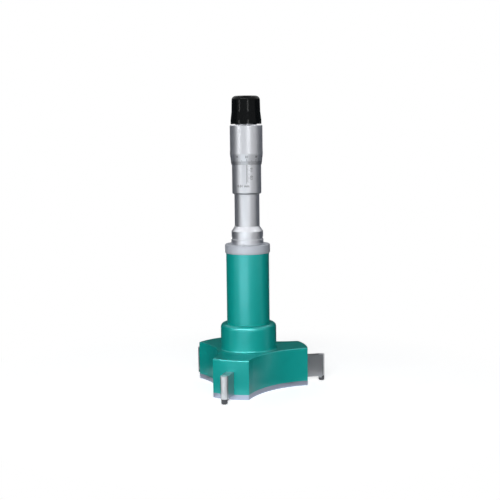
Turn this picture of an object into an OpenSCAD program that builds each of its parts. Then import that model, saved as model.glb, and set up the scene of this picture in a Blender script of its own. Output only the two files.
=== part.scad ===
// Three-point inside micrometer: a spindle drives a cone that spreads three anvils against a bore.
// Millimetres. The origin is on the spindle axis at the underside of the base plate, +Z up the spindle.

/* [Measuring range] */
// Bore diameter with the anvils drawn fully in
bore_min = 100; // [97:0.5:104]
// Bore diameter that the anvils span as drawn
bore_shown = 103.2; // [101:0.1:108]
// Outward travel of each anvil over the whole range
anvil_travel = 12.5; // [11:0.5:14]

/* [Head] */
// Thickness of the base plate
plate_thickness = 3.2; // [2.8:0.1:4.5]
// Radius of the arm ends
arm_reach = 38.7; // [36:0.1:42]
// Width of each arm at its end
arm_width = 23.8; // [20:0.1:27]
// Radius of the head in the middle of each scallop
waist_radius = 21.7; // [20.5:0.1:23]
// Wall of the arm above the spring channel
arm_roof = 2.55; // [2:0.05:4]
// Wall of the arm beyond the spring channel
arm_end_wall = 2.7; // [2:0.1:4]
// Rounding of the upper edges of the arm ends
arm_edge_round = 0.9; // [0.4:0.1:1.4]
// Rounding of the scallops' upper edges, as a share of that
scallop_edge_share = 0.75; // [0.5:0.05:0.9]
// Diameter of the hub
hub_diameter = 36.4; // [34:0.1:39]
// Height of the hub above the arms
hub_height = 16.8; // [15:0.1:22]
// Rounding of the hub's upper edge
hub_round = 2.6; // [1:0.1:3.5]
// Fillet between the hub and the arms
hub_fillet = 1.2; // [0.5:0.1:2]
// Wall of the hub around the cone bore
hub_wall = 2.2; // [1.6:0.1:3]

/* [Anvils] */
// Thickness of an anvil
anvil_thickness = 5; // [4:0.1:6]
// Height of an anvil
anvil_height = 14.45; // [13:0.05:17]
// Height of the blunt nose below the 45 degree bevel
nose_height = 1.5; // [1:0.1:2.5]
// Room between neighbouring noses when drawn in
nose_gap = 0.5; // [0.3:0.05:1.2]
// Diameter of the hard-metal tip pin
tip_diameter = 4; // [3:0.1:4.6]
// How far the tip pin stands out of the anvil's end
tip_proud = 1; // [0.5:0.1:1.4]
// Height of the tip's foot above the underside of the plate
foot_clearance = 0.1; // [0.05:0.05:0.6]
// Length of the spring lug along the anvil
lug_length = 2.5; // [1.8:0.1:3]
// Distance of the spring lug from the bevel
lug_setback = 2.5; // [1.5:0.1:3]
// Chamfer of the anvil's end corners
anvil_corner = 1; // [0.4:0.1:1.2]
// Fillet between the anvil and the tip's foot
foot_fillet = 1; // [0.5:0.1:1.5]
// Chamfer of the tip pin's foot
tip_chamfer = 0.4; // [0.2:0.1:0.8]
// Diameter of the anvil springs
spring_diameter = 3.8; // [3:0.1:4.4]
// Wire diameter of the anvil springs
spring_wire = 0.5; // [0.4:0.05:0.7]
// Turns of the anvil springs
spring_turns = 6.5; // [5:0.5:7]

/* [Base plate screws] */
// Distance of the screws from the spindle axis, along the arm
screw_reach = 29; // [26:0.5:31]
// Distance of the screws from the middle of the arm
screw_offset = 7.6; // [6.8:0.1:8]
// Thread diameter of the screws
screw_diameter = 3; // [2.5:0.1:3.5]
// Head diameter of the screws
screw_head_diameter = 5.6; // [5:0.1:6]
// Length of the screws
screw_length = 10; // [8:0.5:14]
// Height of the straight edge of a screw head
screw_head_land = 0.4; // [0.2:0.05:0.6]
// Width of the slot in a screw head
screw_slot_width = 0.8; // [0.6:0.1:1]
// Depth of the slot in a screw head
screw_slot_depth = 0.9; // [0.6:0.1:1.1]

/* [Cone and push rod] */
// Floor left in the base plate under the cone
plate_floor = 1; // [0.8:0.1:1.4]
// Height of the cone's straight land
cone_land = 2.5; // [1.5:0.1:3.5]
// Diameter of the push rod
rod_diameter = 8; // [7:0.1:9]
// Diameter of the rod's lower end that carries the cone
rod_end_diameter = 5; // [4:0.1:5.6]
// Width across flats of the cone nut
cone_nut_flats = 8; // [7.2:0.1:9]
// Height of the cone nut
cone_nut_height = 3.2; // [2.4:0.1:4]
// Wall of the guide bushes
bush_wall = 2.2; // [1.6:0.1:3]
// Height of the lower guide bush's flange
bush_flange = 1.5; // [1:0.1:2.5]
// Length of the upper guide bush
upper_bush_length = 8; // [6:0.5:11]
// Diameter of the thrust ball
ball_diameter = 5; // [4:0.1:6]
// How deep the ball sits in the end of the push rod
ball_seat = 1.7; // [1:0.1:1.9]

/* [Column] */
// Diameter of the column
column_diameter = 28; // [26:0.1:30]
// Length of the column above the hub
column_length = 46.2; // [38:0.1:60]
// Wall of the column
column_wall = 5; // [4:0.1:6]
// Step from the column down to its spigot
spigot_step = 2; // [1.5:0.1:2.8]
// Length of the column's spigot in the hub
spigot_length = 11; // [9:0.5:13]

/* [Flange and stem] */
// Diameter of the flange ring
flange_diameter = 29.3; // [27:0.1:33]
// Thickness of the flange ring
flange_thickness = 5.7; // [4:0.1:7]
// Chamfer of the flange ring's upper edge
flange_chamfer = 0.5; // [0.2:0.1:1]
// Height of the flange ring's tapered lower edge
flange_taper_height = 0.8; // [0.5:0.1:2.8]
// How far the lower edge of the flange ring draws in
flange_taper = 0.25; // [0.2:0.05:0.65]
// Diameter of the collar that seats on the flange ring
collar_diameter = 20.9; // [20:0.1:23]
// Height of the collar
collar_height = 3.3; // [2.5:0.1:6]
// Depth of the groove above the collar
groove_depth = 0.3; // [0.3:0.1:1.2]
// Height of the groove
groove_height = 1.2; // [0.6:0.1:2]
// Diameter of the stem's shoulder
shoulder_diameter = 20.5; // [19:0.1:21]
// Height of the shoulder
shoulder_height = 3.9; // [2:0.1:6]
// Chamfer of the edges beside the groove
groove_chamfer = 0.2; // [0.1:0.05:0.3]
// Height of the cone from the shoulder to the neck
flare_height = 3.2; // [1.5:0.1:5]
// Diameter of the neck
neck_diameter = 16.15; // [15.7:0.05:17]
// Length of the neck
neck_length = 20.8; // [16:0.1:30]
// Length of the stem's spigot in the column
stem_spigot_length = 12; // [10:0.5:16]
// Height of the ball's centre above the flange ring
ball_rise = 18.3; // [16:0.1:24]

/* [Sleeve and thimble] */
// Diameter of the graduated sleeve
sleeve_diameter = 18.8; // [18.4:0.05:19.6]
// Wall of the graduated sleeve
sleeve_wall = 1.65; // [1.45:0.05:1.9]
// Rounding of the sleeve's lower edge
sleeve_round = 1.1; // [0.4:0.1:1.3]
// Length of sleeve that shows below the thimble
sleeve_shown = 19; // [16:0.1:24]
// Diameter of the screw spindle
spindle_diameter = 8; // [7:0.1:8.6]
// Wall of the stem around the spindle's thread
nut_wall = 1.75; // [1.4:0.05:2]
// Length of plain bore between the sleeve's foot and the thread
thread_relief = 2; // [1:0.1:4]
// Length of the stem's slit end that carries the adjusting nut
slit_length = 9; // [8:0.1:11]
// Width of the slits
slit_width = 0.6; // [0.4:0.1:1]
// Height of the adjusting nut
adjusting_nut_height = 5.5; // [4:0.1:6.5]
// Height of the adjusting nut above the slit end's shoulder
adjusting_nut_lift = 1.5; // [0.8:0.1:2]
// Width and depth of the adjusting nut's spanner notch
nut_notch = 1.2; // [0.8:0.1:1.6]
// Wall of the thimble
thimble_wall = 1.05; // [0.8:0.05:1.6]
// Length of the thimble
thimble_length = 25.3; // [24:0.1:30]
// Height of the graduated bevel
bevel_height = 6.8; // [3:0.05:8]
// Thickness of the thimble's lower edge
bevel_edge = 0.3; // [0.2:0.05:0.5]
// Height of the gently flared band above the bevel
band_height = 3.3; // [2:0.1:7]
// How far that band stands out at the bevel
band_proud = 0.12; // [0.05:0.01:0.3]
// Thickness of the thimble's end wall
thimble_end = 6.4; // [5:0.1:7]
// Height of the spindle's collar under the end wall
spindle_collar = 3; // [2:0.1:4]
// How far the spindle's collar stands out
spindle_collar_step = 2; // [1.2:0.1:3]
// Chamfer of the thimble's upper edge
thimble_chamfer = 0.6; // [0.3:0.1:1]

/* [Ratchet cap] */
// Height of the cap
cap_height = 17.9; // [17:0.1:22]
// Diameter of the cap's tapered upper part
cap_diameter = 18.5; // [18:0.1:19.4]
// How much wider the cap is at its foot, on the radius
cap_flare = 0.65; // [0.3:0.05:1]
// Height of the cap's foot
cap_foot = 2.6; // [1.5:0.1:4]
// Height of the taper above the foot
cap_taper = 5.2; // [3:0.1:7]
// How much the cap draws in above the taper, on the radius
cap_lean = 0.16; // [0.05:0.01:0.3]
// Rounding of the cap's upper edge
cap_round = 2.8; // [1:0.1:3.2]
// Wall of the cap
cap_wall = 0.9; // [0.7:0.05:1.1]
// Thickness of the cap's closed end
cap_end = 2.4; // [2.2:0.1:3]
// Wall of the ratchet housing
housing_wall = 0.95; // [0.8:0.05:1.2]
// Thickness of the ratchet housing's end
housing_web = 2; // [1.5:0.1:2.5]
// Number of ratchet teeth
tooth_count = 24; // [12:12:24]
// Height of the ratchet teeth
tooth_height = 0.6; // [0.4:0.05:0.8]
// Width of one ratchet tooth's ramp
tooth_ramp = 0.95; // [0.6:0.05:1]
// Width of the ring of ratchet teeth
tooth_width = 2.7; // [2:0.1:3]
// Thickness of the ratchet wheel's web
wheel_web = 2; // [1.5:0.1:2.5]
// Height of the driver ring above its teeth
driver_height = 2.9; // [2.2:0.1:3.5]
// Width of the driver's keys
key_width = 2; // [1.5:0.1:3]
// Height of the driver's keys
key_height = 2; // [1.4:0.1:2.2]
// Diameter of the ratchet screw's shank
shank_diameter = 5; // [4:0.1:5.4]
// Thread diameter of the ratchet screw
shank_thread = 3; // [2.5:0.1:3.4]
// Depth of the ratchet screw's thread below the thimble's end
thread_depth = 7; // [5:0.1:9]
// Height of the ratchet screw's head
head_height = 2.5; // [2:0.1:2.8]
// How far the ratchet screw's head stands out
head_step = 2; // [1.2:0.1:2.6]
// Width of the slot in the ratchet screw
head_slot = 1; // [0.6:0.1:1.4]
// Wire diameter of the ratchet spring
ratchet_wire = 0.7; // [0.5:0.05:0.8]
// Turns of the ratchet spring
ratchet_turns = 3; // [2:0.5:4]

/* [Fits] */
// Clearance of sliding anvils in their slots
slide_clearance = 0.05; // [0.03:0.01:0.1]
// Radial clearance of turning and sliding shafts
running_clearance = 0.04; // [0.02:0.01:0.08]
// Clearance of pieces that are fastened together
fit_clearance = 0.05; // [0.03:0.01:0.08]
// Clear air between pieces that pass each other
air_gap = 0.5; // [0.3:0.05:0.8]

/* [Hidden] */
$fn = 96;
EPS = 0.01;
CUT = 1;
ARM_ANGLES = [-90, 30, 150];
FRONT = 0;
RIGHT = 1;
LEFT = 2;

TEAL = [0.05, 0.57, 0.56];
SATIN = [0.84, 0.85, 0.88];
STEEL = [0.6, 0.61, 0.64];
HARD_METAL = [0.42, 0.43, 0.46];
BRONZE = [0.72, 0.53, 0.3];
BLACK = [0.09, 0.09, 0.1];

// Anvil positions along the arm, as drawn
tip_radius = bore_shown / 2;
anvil_out = (bore_shown - bore_min) / 2;
anvil_left = anvil_travel - anvil_out;
tip_centre = tip_radius - tip_diameter / 2;
anvil_end = tip_radius - tip_proud;
nose_drawn_in = (anvil_thickness / 4 + nose_gap / 2) / sin(60);
nose_radius = nose_drawn_in + anvil_out;

// Heights in the head
anvil_bottom = plate_thickness + slide_clearance;
nose_top = anvil_bottom + nose_height;
anvil_top = anvil_bottom + anvil_height;
slot_top = anvil_top + slide_clearance;
spring_axis = slot_top + air_gap + spring_diameter / 2;
channel_top = spring_axis + spring_diameter / 2 + air_gap;
arm_top = channel_top + arm_roof;
hub_top = arm_top + hub_height;
socket_bottom = hub_top - spigot_length;

// Spring channel above each slot
bevel_top_radius = nose_radius + anvil_top - nose_top;
lug_inner = bevel_top_radius + lug_setback;
lug_outer = lug_inner + lug_length;
channel_end = arm_reach - arm_end_wall;
channel_width = spring_diameter + 2 * slide_clearance + air_gap / 2;

// Outline of the head: three scallops on the bisectors between the arms
hub_radius = hub_diameter / 2;
scallop_angle = 60 - asin(arm_width / 2 / arm_reach);
scallop_centre = (pow(arm_reach, 2) - pow(waist_radius, 2))
    / (2 * (arm_reach * cos(scallop_angle) - waist_radius));
scallop_radius = scallop_centre - waist_radius;

// Cone: its 45 degree flank lies on the anvils' bevels at every point of the travel
cone_bore = hub_radius - hub_wall;
cone_radius = cone_bore - running_clearance;
cone_bottom = plate_floor + air_gap + anvil_left;
cone_flank_offset = nose_top - nose_radius + slide_clearance * sqrt(2);
cone_tip_radius = cone_bottom - cone_flank_offset;
cone_flank_top = cone_bottom + cone_radius - cone_tip_radius;
cone_top = cone_flank_top + cone_land;
cone_recess = cone_radius - (cone_flank_top - anvil_left - plate_thickness) + air_gap;
chamber_top = cone_top + anvil_out + 2 * air_gap;
cone_nut_radius = cone_nut_flats / 2 / cos(30);
cone_nut_bottom = cone_bottom + air_gap;
cone_nut_top = cone_nut_bottom + cone_nut_height;

// Push rod, ball and bushes
rod_radius = rod_diameter / 2;
ball_radius = ball_diameter / 2;
bush_radius = rod_radius + bush_wall;
bush_flange_radius = bush_radius + bush_wall;

// Column, flange and stem
column_top = hub_top + column_length;
column_bore = column_diameter / 2 - column_wall;
spigot_radius = column_diameter / 2 - spigot_step;
flange_top = column_top + flange_thickness;
collar_top = flange_top + collar_height;
groove_top = collar_top + groove_height;
shoulder_top = groove_top + shoulder_height;
flare_top = shoulder_top + flare_height;
sleeve_bottom = flare_top + neck_length;
stem_bottom = column_top - stem_spigot_length;
upper_bush_top = stem_bottom + upper_bush_length;
stem_bore = max(rod_diameter, spindle_diameter) / 2 + 2 * air_gap;
ball_height = flange_top + ball_rise;
rod_top = ball_height - ball_radius + ball_seat;
spindle_bottom = ball_height + ball_radius + running_clearance;

// Sleeve and thimble
sleeve_radius = sleeve_diameter / 2;
sleeve_bore = sleeve_radius - sleeve_wall;
spindle_radius = spindle_diameter / 2;
thimble_bore = sleeve_radius + running_clearance;
thimble_radius = thimble_bore + thimble_wall;
thimble_edge = sleeve_bottom + sleeve_shown;
bevel_top = thimble_edge + bevel_height;
band_top = bevel_top + band_height;
thimble_top = thimble_edge + thimble_length;
end_wall_bottom = thimble_top - thimble_end;
collar_bottom = end_wall_bottom - spindle_collar;
sleeve_top = collar_bottom - anvil_left - air_gap;
thread_bottom = sleeve_bottom + thread_relief;
slit_bottom = sleeve_top - slit_length;
slit_end_radius = spindle_radius + running_clearance + nut_wall;
adjusting_nut_bottom = slit_bottom + adjusting_nut_lift;

// Ratchet
cap_bottom = thimble_top + air_gap;
cap_top = cap_bottom + cap_height;
cap_radius = cap_diameter / 2;
cap_bore = cap_radius - cap_wall;
housing_bottom = cap_bottom + air_gap;
housing_top = cap_top - cap_end - head_height - air_gap;
housing_radius = cap_bore - fit_clearance;
housing_bore = housing_radius - housing_wall;
wheel_radius = housing_bore - air_gap;
tooth_inner = wheel_radius - tooth_width;
tooth_root = thimble_top + wheel_web + tooth_height;
tooth_top = tooth_root + tooth_height;
driver_radius = housing_bore - fit_clearance;
driver_bore = shank_diameter / 2 + air_gap;
driver_top = tooth_top + driver_height;
key_radius = housing_radius - housing_wall / 2;
shank_radius = shank_diameter / 2;
shank_bore = shank_radius + running_clearance;
ratchet_spring_radius = (driver_bore + driver_radius) / 2;

// Shared shapes

// A turned piece: the children are its half section in radius and height
module turned() {
    rotate_extrude() children();
}

// Half section of a plain band between two heights
module band(inner, outer, bottom, top) {
    translate([inner, bottom]) square([outer - inner, top - bottom]);
}

// Half section of a band whose outer upper edge is rounded
module rounded_band(outer, bottom, top, rounding) {
    band(0, outer - rounding, bottom, top);
    band(0, outer, bottom, top - rounding);
    translate([outer - rounding, top - rounding]) circle(rounding);
}

// A straight hole or shaft between two heights
module shaft(radius, bottom, top) {
    translate([0, 0, bottom]) cylinder(r = radius, h = top - bottom);
}

// A plate that stands on an arm's middle plane: the children are its outline along the arm and in height
module upright(thickness) {
    rotate([90, 0, 0]) linear_extrude(thickness, center = true) children();
}

// The same piece on each of the three arms
module on_each_arm() {
    for (angle = ARM_ANGLES) rotate(angle) children();
}

// Outline of the head, seen from above
module three_arm_outline() {
    difference() {
        circle(arm_reach);
        for (angle = ARM_ANGLES) rotate(angle + 60) translate([scallop_centre, 0]) circle(scallop_radius);
    }
}

// Body with the head's outline between two heights, with its upper edges rounded
module three_arm_body(bottom, top, end_round, scallop_round) {
    difference() {
        turned() rounded_band(arm_reach, bottom, top, end_round);
        for (angle = ARM_ANGLES)
            rotate(angle + 60) translate([scallop_centre, 0, 0]) turned() {
                band(0, scallop_radius, bottom - CUT, top + CUT);
                difference() {
                    band(0, scallop_radius + scallop_round, top - scallop_round, top + CUT);
                    translate([scallop_radius + scallop_round, top - scallop_round]) circle(scallop_round);
                }
            }
    }
}

// The places of the base plate screws
module at_screws() {
    on_each_arm() for (side = [-1, 1]) translate([screw_reach, side * screw_offset, 0]) children();
}

// Half section of a countersunk screw that points up, grown by a clearance
module screw_section(growth) {
    head = screw_head_diameter / 2 + growth;
    thread = screw_diameter / 2 + growth;
    polygon([
        [0, 0], [head, 0], [head, screw_head_land], [thread, screw_head_land + head - thread],
        [thread, screw_length], [0, screw_length]
    ]);
}

// A coil along +Z with open ends, swept from many-sided rings
module coil(mean_radius, wire, length, turns, rings = 16, sides = 6) {
    count = ceil(turns * rings);
    rise = length - wire;
    points = [
        for (i = [0:count], k = [0:sides - 1])
            let (turn = 360 * turns * i / count, around = 360 * k / sides,
                 radius = mean_radius + wire / 2 * cos(around))
            [radius * cos(turn), radius * sin(turn), wire / 2 + rise * i / count + wire / 2 * sin(around)]
    ];
    skin = [
        for (i = [0:count - 1], k = [0:sides - 1])
            let (next = (k + 1) % sides)
            [i * sides + k, (i + 1) * sides + k, (i + 1) * sides + next, i * sides + next]
    ];
    start = [for (k = [0:sides - 1]) k];
    finish = [for (k = [sides - 1:-1:0]) count * sides + k];
    polyhedron(points, concat(skin, [start, finish]));
}

// Saw-tooth grooves across a ring: steep on one side, so that the ring slips one way only
module tooth_grooves(inner, outer, root, top) {
    for (i = [0:tooth_count - 1])
        rotate(i * 360 / tooth_count) translate([inner, 0, 0]) rotate([90, 0, 90])
            linear_extrude(outer - inner) polygon([[0, root], [0, top], [-tooth_ramp, top]]);
}

// Head

module head_body() {
    slot = anvil_thickness + 2 * slide_clearance;
    color(TEAL) difference() {
        union() {
            three_arm_body(plate_thickness, arm_top, arm_edge_round, scallop_edge_share * arm_edge_round);
            turned() {
                rounded_band(hub_radius, plate_thickness, hub_top, hub_round);
                difference() {
                    band(0, hub_radius + hub_fillet, arm_top - CUT, arm_top + hub_fillet);
                    translate([hub_radius + hub_fillet, arm_top + hub_fillet]) circle(hub_fillet);
                }
            }
        }
        shaft(cone_bore, plate_thickness - CUT, chamber_top);
        shaft(bush_radius + fit_clearance, chamber_top - CUT, hub_top);
        shaft(spigot_radius, socket_bottom, hub_top + CUT);
        on_each_arm() {
            upright(slot) band(0, arm_reach + CUT, plate_thickness - CUT, slot_top);
            upright(channel_width) band(0, channel_end, slot_top - CUT, channel_top);
        }
        at_screws() shaft(screw_diameter / 2 + fit_clearance, plate_thickness - CUT, screw_length + air_gap);
    }
}

module base_plate() {
    color(SATIN) difference() {
        linear_extrude(plate_thickness) three_arm_outline();
        shaft(cone_recess, plate_floor, plate_thickness + CUT);
        at_screws() turned() screw_section(fit_clearance);
    }
}

module plate_screws() {
    color(STEEL) at_screws() translate([0, 0, fit_clearance]) difference() {
        turned() screw_section(0);
        cube([screw_head_diameter + CUT, screw_slot_width, 2 * screw_slot_depth], center = true);
    }
}

// One anvil along +X: bevelled inner end, spring lug with spigot, and a seat for the tip pin
module anvil() {
    corner_cut = anvil_corner * sqrt(2);
    foot_back = tip_centre - tip_diameter / 2;
    foot_front = tip_centre - tip_diameter / 8;
    fillet_start = foot_back - foot_fillet;
    fillet_bottom = anvil_bottom - foot_fillet;
    color(STEEL) difference() {
        union() {
            upright(anvil_thickness) {
                polygon([
                    [nose_radius, anvil_bottom], [anvil_end, anvil_bottom], [anvil_end, anvil_top],
                    [bevel_top_radius, anvil_top], [nose_radius, nose_top]
                ]);
                difference() {
                    band(fillet_start, foot_front, fillet_bottom, anvil_bottom + EPS);
                    translate([fillet_start, fillet_bottom]) circle(foot_fillet);
                }
            }
            upright(channel_width - 2 * slide_clearance)
                band(lug_inner, lug_outer, anvil_top - CUT, channel_top - slide_clearance);
            translate([lug_outer - EPS, 0, spring_axis]) rotate([0, 90, 0])
                cylinder(d = spring_diameter - 2 * spring_wire - 2 * air_gap, h = lug_length / 2);
        }
        translate([tip_centre, 0, 0]) shaft(tip_diameter / 2 + fit_clearance, -CUT, anvil_top + CUT);
        for (side = [-1, 1])
            translate([anvil_end, side * anvil_thickness / 2, 0]) rotate(45)
                cube([corner_cut, corner_cut, 4 * anvil_height], center = true);
    }
}

// Hard-metal pin in the end of an anvil, with its foot below
module tip_pin() {
    radius = tip_diameter / 2;
    color(HARD_METAL) translate([tip_centre, 0, 0]) turned() polygon([
        [0, foot_clearance], [radius - tip_chamfer, foot_clearance], [radius, foot_clearance + tip_chamfer],
        [radius, anvil_top], [0, anvil_top]
    ]);
}

module anvil_spring() {
    start = lug_outer + fit_clearance;
    spring_length = channel_end - fit_clearance - start;
    color(STEEL) translate([start, 0, spring_axis]) rotate([0, 90, 0])
        coil((spring_diameter - spring_wire) / 2, spring_wire, spring_length, spring_turns);
}

module anvil_front() { rotate(ARM_ANGLES[FRONT]) anvil(); }
module anvil_right() { rotate(ARM_ANGLES[RIGHT]) anvil(); }
module anvil_left() { rotate(ARM_ANGLES[LEFT]) anvil(); }
module tip_front() { rotate(ARM_ANGLES[FRONT]) tip_pin(); }
module tip_right() { rotate(ARM_ANGLES[RIGHT]) tip_pin(); }
module tip_left() { rotate(ARM_ANGLES[LEFT]) tip_pin(); }
module anvil_spring_front() { rotate(ARM_ANGLES[FRONT]) anvil_spring(); }
module anvil_spring_right() { rotate(ARM_ANGLES[RIGHT]) anvil_spring(); }
module anvil_spring_left() { rotate(ARM_ANGLES[LEFT]) anvil_spring(); }

// Cone and push rod

module measuring_cone() {
    color(STEEL) difference() {
        turned() polygon([
            [0, cone_bottom], [cone_tip_radius, cone_bottom], [cone_radius, cone_flank_top],
            [cone_radius, cone_top], [0, cone_top]
        ]);
        shaft(rod_end_diameter / 2 + fit_clearance, cone_bottom - CUT, cone_top + CUT);
        shaft(cone_nut_radius + air_gap, cone_bottom - CUT, cone_nut_top);
    }
}

module cone_nut() {
    color(STEEL) difference() {
        translate([0, 0, cone_nut_bottom]) cylinder(r = cone_nut_radius, h = cone_nut_height, $fn = 6);
        shaft(rod_end_diameter / 2 + fit_clearance, cone_nut_bottom - CUT, cone_nut_top + CUT);
    }
}

module push_rod() {
    color(STEEL) difference() {
        union() {
            shaft(rod_end_diameter / 2, cone_nut_bottom, cone_top + CUT);
            shaft(rod_radius, cone_top, rod_top);
        }
        translate([0, 0, ball_height]) sphere(ball_radius + fit_clearance);
    }
}

module thrust_ball() {
    color(STEEL) translate([0, 0, ball_height]) sphere(ball_radius);
}

module lower_guide_bush() {
    color(BRONZE) difference() {
        union() {
            shaft(bush_radius, chamber_top, socket_bottom + bush_flange);
            shaft(bush_flange_radius, socket_bottom, socket_bottom + bush_flange);
        }
        shaft(rod_radius + running_clearance, chamber_top - CUT, hub_top);
    }
}

module upper_guide_bush() {
    color(BRONZE) difference() {
        shaft(bush_radius, stem_bottom, upper_bush_top);
        shaft(rod_radius + running_clearance, stem_bottom - CUT, upper_bush_top + CUT);
    }
}

// Column, flange and stem

module column_tube() {
    color(TEAL) difference() {
        union() {
            shaft(spigot_radius - fit_clearance, socket_bottom, hub_top + CUT);
            shaft(column_diameter / 2, hub_top, column_top);
        }
        shaft(column_bore, socket_bottom - CUT, column_top + CUT);
    }
}

module flange_ring() {
    radius = flange_diameter / 2;
    color(SATIN) turned() polygon([
        [column_bore, column_top], [radius - flange_taper, column_top],
        [radius, column_top + flange_taper_height], [radius, flange_top - flange_chamfer],
        [radius - flange_chamfer, flange_top], [column_bore, flange_top]
    ]);
}

module stem_body() {
    spigot = column_bore - fit_clearance;
    collar = collar_diameter / 2;
    shoulder = shoulder_diameter / 2;
    neck = neck_diameter / 2;
    color(SATIN) difference() {
        turned() polygon([
            [0, stem_bottom], [spigot, stem_bottom], [spigot, flange_top],
            [collar, flange_top], [collar, collar_top - groove_chamfer],
            [collar - groove_chamfer, collar_top],
            [shoulder - groove_depth, collar_top], [shoulder - groove_depth, groove_top],
            [shoulder - groove_chamfer, groove_top], [shoulder, groove_top + groove_chamfer],
            [shoulder, shoulder_top], [neck, flare_top], [neck, sleeve_bottom],
            [sleeve_bore - fit_clearance, sleeve_bottom], [sleeve_bore - fit_clearance, slit_bottom],
            [slit_end_radius, slit_bottom], [slit_end_radius, sleeve_top], [0, sleeve_top]
        ]);
        shaft(bush_radius + fit_clearance, stem_bottom - CUT, upper_bush_top);
        shaft(stem_bore, stem_bottom - CUT, thread_bottom);
        shaft(spindle_radius + running_clearance, thread_bottom - CUT, sleeve_top + CUT);
        for (angle = ARM_ANGLES)
            rotate(angle) upright(slit_width) band(0, slit_end_radius + CUT, slit_bottom, sleeve_top + CUT);
    }
}

module adjusting_nut() {
    nut_top = adjusting_nut_bottom + adjusting_nut_height;
    color(STEEL) difference() {
        shaft(sleeve_bore - 3 * fit_clearance, adjusting_nut_bottom, nut_top);
        shaft(slit_end_radius + fit_clearance, adjusting_nut_bottom - CUT, nut_top + CUT);
        upright(nut_notch) band(-sleeve_bore, sleeve_bore, nut_top - nut_notch, nut_top + CUT);
    }
}

module graduated_sleeve() {
    color(SATIN) turned() difference() {
        mirror([0, 1]) rounded_band(sleeve_radius, -sleeve_top, -sleeve_bottom, sleeve_round);
        band(0, sleeve_bore, sleeve_bottom - CUT, sleeve_top + CUT);
    }
}

// Spindle and thimble

module spindle() {
    color(STEEL) difference() {
        union() {
            shaft(spindle_radius, spindle_bottom, thimble_top - air_gap);
            shaft(spindle_radius + spindle_collar_step, collar_bottom, end_wall_bottom);
        }
        shaft(shank_thread / 2 + fit_clearance, thimble_top - thread_depth - air_gap, thimble_top);
    }
}

module thimble() {
    color(SATIN) turned() difference() {
        polygon([
            [0, thimble_edge], [thimble_bore + bevel_edge, thimble_edge],
            [thimble_radius + band_proud, bevel_top], [thimble_radius, band_top],
            [thimble_radius, thimble_top - thimble_chamfer],
            [thimble_radius - thimble_chamfer, thimble_top], [0, thimble_top]
        ]);
        band(0, thimble_bore, thimble_edge - CUT, end_wall_bottom);
        band(0, spindle_radius + fit_clearance, thimble_edge, thimble_top + CUT);
    }
}

// Ratchet

module ratchet_wheel() {
    color(STEEL) difference() {
        union() {
            shaft(wheel_radius, thimble_top, thimble_top + wheel_web);
            turned() band(tooth_inner, wheel_radius, thimble_top, tooth_top);
        }
        shaft(shank_thread / 2 + fit_clearance, thimble_top - CUT, tooth_top);
        tooth_grooves(0, wheel_radius + CUT, tooth_root, tooth_top + EPS);
    }
}

module ratchet_screw() {
    head_radius = shank_radius + head_step;
    head_bottom = housing_top + running_clearance;
    color(STEEL) difference() {
        union() {
            shaft(shank_thread / 2, thimble_top - thread_depth, thimble_top + wheel_web + CUT);
            shaft(shank_radius, thimble_top + wheel_web, head_bottom + CUT);
            shaft(head_radius, head_bottom, head_bottom + head_height - running_clearance);
        }
        translate([0, 0, head_bottom + head_height])
            cube([2 * head_radius + CUT, head_slot, head_height], center = true);
    }
}

module ratchet_driver() {
    lift = 2 * fit_clearance;
    color(STEEL) difference() {
        union() {
            turned() band(driver_bore, driver_radius, tooth_root, driver_top);
            upright(key_width) {
                band(driver_bore, key_radius - fit_clearance, driver_top - key_height, driver_top);
                band(fit_clearance - key_radius, -driver_bore, driver_top - key_height, driver_top);
            }
        }
        translate([0, 0, lift]) difference() {
            shaft(driver_radius + CUT, tooth_root - CUT, tooth_top);
            tooth_grooves(0, driver_radius + 2 * CUT, tooth_root, tooth_top + EPS);
        }
    }
}

module ratchet_spring() {
    bottom = driver_top + fit_clearance;
    length = housing_top - housing_web - fit_clearance - bottom;
    color(STEEL) translate([0, 0, bottom])
        coil(ratchet_spring_radius, ratchet_wire, length, ratchet_turns);
}

module ratchet_housing() {
    slot = key_width + 2 * fit_clearance;
    color(STEEL) difference() {
        shaft(housing_radius, housing_bottom, housing_top);
        shaft(housing_bore, housing_bottom - CUT, housing_top - housing_web);
        shaft(shank_bore, housing_bottom, housing_top + CUT);
        upright(slot) band(-key_radius, key_radius, housing_bottom - CUT, driver_top + fit_clearance);
    }
}

module ratchet_cap() {
    foot = cap_radius + cap_flare;
    crown = cap_radius - cap_lean;
    color(BLACK) difference() {
        turned() {
            rounded_band(crown, cap_bottom, cap_top, cap_round);
            polygon([
                [0, cap_bottom], [foot, cap_bottom], [foot, cap_bottom + cap_foot],
                [cap_radius, cap_bottom + cap_foot + cap_taper],
                [crown, cap_top - cap_round], [0, cap_top - cap_round]
            ]);
        }
        shaft(cap_bore, cap_bottom - CUT, housing_top);
        shaft(housing_bore, cap_bottom, cap_top - cap_end);
    }
}

head_body();
base_plate();
plate_screws();
column_tube();
lower_guide_bush();
upper_guide_bush();
flange_ring();
stem_body();
adjusting_nut();
graduated_sleeve();
anvil_front();
anvil_right();
anvil_left();
tip_front();
tip_right();
tip_left();
anvil_spring_front();
anvil_spring_right();
anvil_spring_left();
measuring_cone();
cone_nut();
push_rod();
thrust_ball();
spindle();
thimble();
ratchet_wheel();
ratchet_screw();
ratchet_housing();
ratchet_driver();
ratchet_spring();
ratchet_cap();
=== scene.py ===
"""Looks of a three-point inside micrometer: finishes, scales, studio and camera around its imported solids."""

from __future__ import annotations

import logging
import math
from abc import ABC, abstractmethod
from dataclasses import dataclass, field
from enum import Enum
from typing import ClassVar, Union

import bmesh
import bpy
from mathutils import Matrix, Vector

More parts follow.
